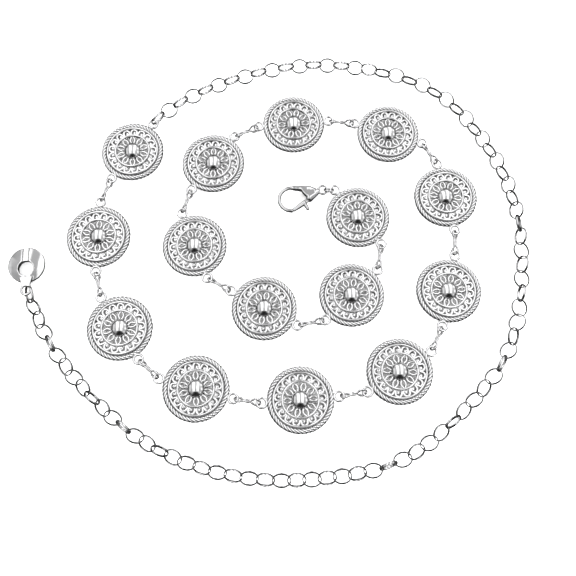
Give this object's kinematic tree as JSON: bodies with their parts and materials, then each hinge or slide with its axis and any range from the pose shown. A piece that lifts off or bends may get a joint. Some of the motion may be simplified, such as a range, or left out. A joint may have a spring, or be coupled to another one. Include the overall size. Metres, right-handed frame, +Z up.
{
  "type": "waist chain",
  "caption": "Metal waist chain laid flat in a spiral: pierced round medallions on wire connectors, a lobster clasp, and a link extension chain with a pierced end tag.",
  "frame": {"origin": "middle of the laid-out chain on the table, at table height", "axes": "+Z up from the table; +X to the picture's right, +Y away from the camera along the table"},
  "size_m": [0.2022, 0.1732, 0.007],
  "materials": {
    "medallions": "bright silver plating over cast metal, polished on the raised work, a little duller in the gaps",
    "wire": "bright silver plating over drawn wire",
    "clasp": "bright silver plating over cast metal, polished",
    "links": "bright silver plating over rolled band, polished",
    "tag": "bright silver plating over cast metal, polished to a mirror"
  },
  "bodies": {
    "chain": {"medallion_01": "medallions", "medallion_02": "medallions", "medallion_03": "medallions", "medallion_04": "medallions", "medallion_05": "medallions", "medallion_06": "medallions", "medallion_07": "medallions", "medallion_08": "medallions", "medallion_09": "medallions", "medallion_10": "medallions", "medallion_11": "medallions", "medallion_12": "medallions", "medallion_13": "medallions", "medallion_14": "medallions", "medallion_15": "medallions", "connector_01": "wire", "connector_02": "wire", "connector_03": "wire", "connector_04": "wire", "connector_05": "wire", "connector_06": "wire", "connector_07": "wire", "connector_08": "wire", "connector_09": "wire", "connector_10": "wire", "connector_11": "wire", "connector_12": "wire", "connector_13": "wire", "connector_14": "wire", "clasp_body": "clasp", "jump_ring": "wire", "chain_upper": "links", "chain_lower": "links", "end_tag": "tag"},
    "lever": {"clasp_lever": "clasp"}
  },
  "joints": [
    {"name": "clasp_lever_hinge", "type": "hinge", "parent": "chain", "child": "lever", "pos_m": [0.01584, 0.02432, 0.00171], "axis": [0, 0, -1], "range_deg": [0, 28], "stiffness_Nm_per_rad": 0.004, "springref_deg": -5.73}
  ]
}
